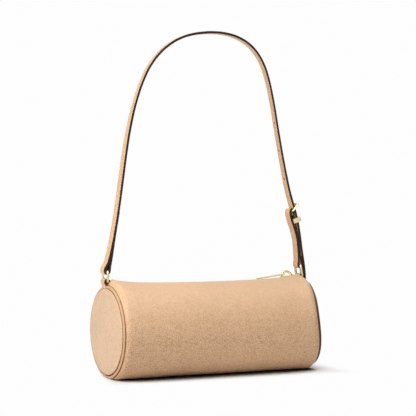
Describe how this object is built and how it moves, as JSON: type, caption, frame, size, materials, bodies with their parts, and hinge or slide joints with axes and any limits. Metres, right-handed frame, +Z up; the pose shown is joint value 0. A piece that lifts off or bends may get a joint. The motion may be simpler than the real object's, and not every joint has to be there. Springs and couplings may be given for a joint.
{
  "type": "barrel bag",
  "caption": "Small cylindrical leather bag lying on its side, with piped end discs, a top zip with a long pull, and a slim shoulder strap with an adjusting buckle.",
  "frame": {"origin": "middle of the flattened underside, on the surface the bag rests on", "axes": "+X along the barrel towards the buckle end, -Y towards the front, +Z up"},
  "size_m": [0.2373, 0.102, 0.3597],
  "materials": {
    "body_leather": "fine pebbled grain, soft sheen",
    "end_leather": "smooth grain, soft sheen",
    "welt_leather": "smooth grain, soft sheen",
    "tab_leather": "smooth, dark painted edges",
    "strap_leather": "smooth, dark painted edges",
    "interlining": "matt foam",
    "board": "matt board",
    "lining": "plain weave",
    "welt_cord": "twisted cotton",
    "zip_tape": "woven tape",
    "zip_metal": "pale gold plate",
    "hardware": "polished pale gold plate"
  },
  "bodies": {
    "bag": {"body_panel": "body_leather", "interlining": "interlining", "lining_sleeve": "lining", "end_panel_left": "end_leather", "end_board_left": "board", "lining_end_left": "lining", "welt_cover_left": "welt_leather", "welt_cord_left": "welt_cord", "end_panel_right": "end_leather", "end_board_right": "board", "lining_end_right": "lining", "welt_cover_right": "welt_leather", "welt_cord_right": "welt_cord", "zip_tape_front": "zip_tape", "zip_tape_back": "zip_tape", "zip_end_teeth_right": "zip_metal", "zip_end_teeth_left": "zip_metal", "zip_top_stops": "zip_metal", "zip_bottom_stop": "zip_metal", "tab_left": "tab_leather", "tab_right": "tab_leather"},
    "zip_front": {"zip_flap_front": "zip_tape", "zip_teeth_front": "zip_metal"},
    "zip_back": {"zip_flap_back": "zip_tape", "zip_teeth_back": "zip_metal"},
    "slider": {"slider_body": "hardware", "slider_bail": "hardware"},
    "pull": {"zip_pull": "hardware"},
    "ring_left": {"ring_left": "hardware"},
    "ring_right": {"ring_right": "hardware"},
    "strap": {"strap_face": "strap_leather", "strap_backing": "strap_leather", "chape": "strap_leather", "buckle_frame": "hardware", "keeper": "hardware"},
    "prong": {"buckle_prong": "hardware"}
  },
  "joints": [
    {"name": "zip_slide", "type": "slide", "parent": "bag", "child": "slider", "axis": [-1, 0, 0], "range_m": [0, 0.172], "deforming": ["zip_flap_front", "zip_teeth_front", "zip_flap_back", "zip_teeth_back"]},
    {"name": "zip_front_open", "type": "slide", "parent": "bag", "child": "zip_front", "axis": [0, -1, 0], "range_m": [0, 0.003]},
    {"name": "zip_back_open", "type": "slide", "parent": "bag", "child": "zip_back", "axis": [0, 1, 0], "range_m": [0, 0.003]},
    {"name": "pull_lift", "type": "hinge", "parent": "slider", "child": "pull", "pos_m": [0.0944, 0.00767, 0.10256], "axis": [0, 0.9903, -0.1392], "range_deg": [0, 115]},
    {"name": "ring_left_swing", "type": "hinge", "parent": "bag", "child": "ring_left", "pos_m": [-0.11357, 0.0071, 0.10005], "axis": [0, 1, 0], "range_deg": [-8, 25]},
    {"name": "strap_swing", "type": "hinge", "parent": "ring_left", "child": "strap", "pos_m": [-0.11357, 0.0071, 0.10895], "axis": [0, 1, 0], "range_deg": [-25, 8]},
    {"name": "ring_right_swing", "type": "hinge", "parent": "bag", "child": "ring_right", "pos_m": [0.11357, 0.0071, 0.10005], "axis": [0, 1, 0], "range_deg": [-8, 25]},
    {"name": "prong_play", "type": "hinge", "parent": "strap", "child": "prong", "pos_m": [0.10177, 0.0071, 0.16885], "axis": [0, 1, 0], "range_deg": [0, 6]}
  ],
  "couplings": [
    {"joint": "zip_front_open", "follows": "zip_slide", "ratio": 0.017441},
    {"joint": "zip_back_open", "follows": "zip_slide", "ratio": 0.017441},
    {"joint": "strap_swing", "follows": "ring_left_swing", "ratio": -1},
    {"joint": "ring_right_swing", "follows": "ring_left_swing", "ratio": 1}
  ]
}
